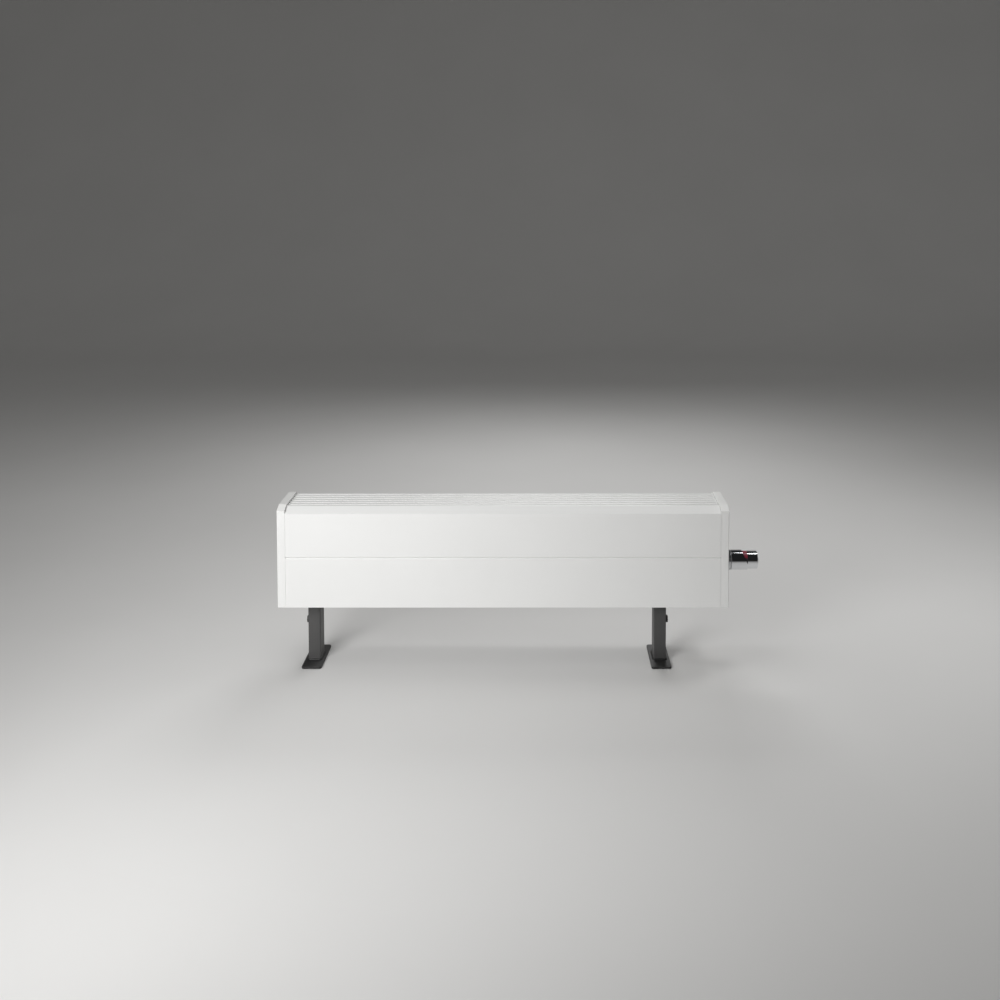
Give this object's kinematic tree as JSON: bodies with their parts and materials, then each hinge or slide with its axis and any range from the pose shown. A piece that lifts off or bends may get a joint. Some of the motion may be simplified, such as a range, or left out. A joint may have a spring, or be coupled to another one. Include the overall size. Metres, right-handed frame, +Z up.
{
  "type": "freestanding convector radiator",
  "caption": "Long low convector radiator on two legs, with finned exchanger, slatted top grille and a thermostatic head on one end.",
  "frame": {"origin": "on the floor, midway between the two floor bolt holes", "axes": "+X along the casing towards the thermostatic head, +Y to the back, +Z up"},
  "size_m": [0.9716, 0.13, 0.3335],
  "materials": {
    "white_lacquer": "satin powder coat, smooth",
    "white_plastic": "satin moulded plastic",
    "galvanised": "zinc coated sheet",
    "graphite_lacquer": "satin graphite powder coat",
    "black_steel": "blackened bolt",
    "fin_aluminium": "mill finish",
    "copper": "drawn copper",
    "brass": "machined brass",
    "grey_plastic": "moulded, matt",
    "chrome": "polished chrome",
    "red_plastic": "moulded, glossy",
    "seal_rubber": "moulded rubber",
    "stainless_steel": "drawn stainless"
  },
  "bodies": {
    "casing": {"front_panel": "white_lacquer", "back_panel": "white_lacquer", "left_end_panel": "white_lacquer", "right_end_panel": "white_lacquer", "left_top_cap": "white_plastic", "right_top_cap": "white_plastic", "top_spreaders": "galvanised", "spreader_screws": "galvanised", "left_cradle": "galvanised", "right_cradle": "galvanised", "left_corner_brackets": "galvanised", "right_corner_brackets": "galvanised", "panel_nuts": "galvanised", "left_inner_leg": "graphite_lacquer", "right_inner_leg": "graphite_lacquer", "fin_pack": "fin_aluminium", "exchanger_tubes": "copper", "return_bends": "copper", "left_tube_saddle": "grey_plastic", "right_tube_saddle": "grey_plastic", "supply_manifold": "brass", "return_manifold": "brass", "supply_socket": "brass", "return_socket": "brass", "air_vent": "brass", "lockshield_insert": "brass", "lockshield_cap": "grey_plastic", "valve_body": "brass", "valve_tail": "brass", "tail_nut": "brass", "valve_insert": "brass", "head_union_nut": "chrome", "head_sleeve": "chrome", "head_base": "grey_plastic"},
    "grille": {"grille_slats": "white_lacquer", "grille_rods": "fin_aluminium"},
    "left_foot": {"left_foot_tube": "graphite_lacquer", "left_base_plate": "graphite_lacquer", "left_clamp_bolt": "black_steel", "left_clamp_nut": "galvanised"},
    "right_foot": {"right_foot_tube": "graphite_lacquer", "right_base_plate": "graphite_lacquer", "right_clamp_bolt": "black_steel", "right_clamp_nut": "galvanised"},
    "handle": {"handle_shell": "chrome", "scale_ring": "red_plastic"},
    "sensor": {"sensor_capsule": "fin_aluminium", "overtravel_spring": "stainless_steel"},
    "valve_stem": {"valve_spindle": "stainless_steel", "valve_seal": "seal_rubber", "spindle_spring": "stainless_steel", "transfer_pin": "stainless_steel"},
    "return_spindle": {"lockshield_spindle": "brass"},
    "vent": {"vent_screw": "brass"}
  },
  "joints": [
    {"name": "grille_lift", "type": "slide", "parent": "casing", "child": "grille", "axis": [0, 0, 1], "range_m": [0, 0.06]},
    {"name": "left_foot_height", "type": "slide", "parent": "casing", "child": "left_foot", "axis": [0, 0, -1], "range_m": [0, 0.03]},
    {"name": "right_foot_height", "type": "slide", "parent": "casing", "child": "right_foot", "axis": [0, 0, -1], "range_m": [0, 0.03]},
    {"name": "handle_turn", "type": "hinge", "parent": "casing", "child": "handle", "pos_m": [0.539, 0, 0.205], "axis": [-1, 0, 0], "range_deg": [0, 290]},
    {"name": "capsule_slide", "type": "slide", "parent": "casing", "child": "sensor", "axis": [-1, 0, 0], "range_m": [0, 0.0024]},
    {"name": "stem_slide", "type": "slide", "parent": "casing", "child": "valve_stem", "axis": [-1, 0, 0], "range_m": [0, 0.0024]},
    {"name": "return_regulator", "type": "hinge", "parent": "casing", "child": "return_spindle", "pos_m": [0.41, 0, 0.165], "axis": [1, 0, 0], "range_deg": [0, 720]},
    {"name": "vent_turn", "type": "hinge", "parent": "casing", "child": "vent", "pos_m": [0.392, 0.026, 0.225], "axis": [0, 0, 1], "range_deg": [0, 360]}
  ],
  "couplings": [
    {"joint": "capsule_slide", "follows": "handle_turn", "m_per_rad": 0.00047417},
    {"joint": "stem_slide", "follows": "handle_turn", "m_per_rad": 0.00047417}
  ]
}
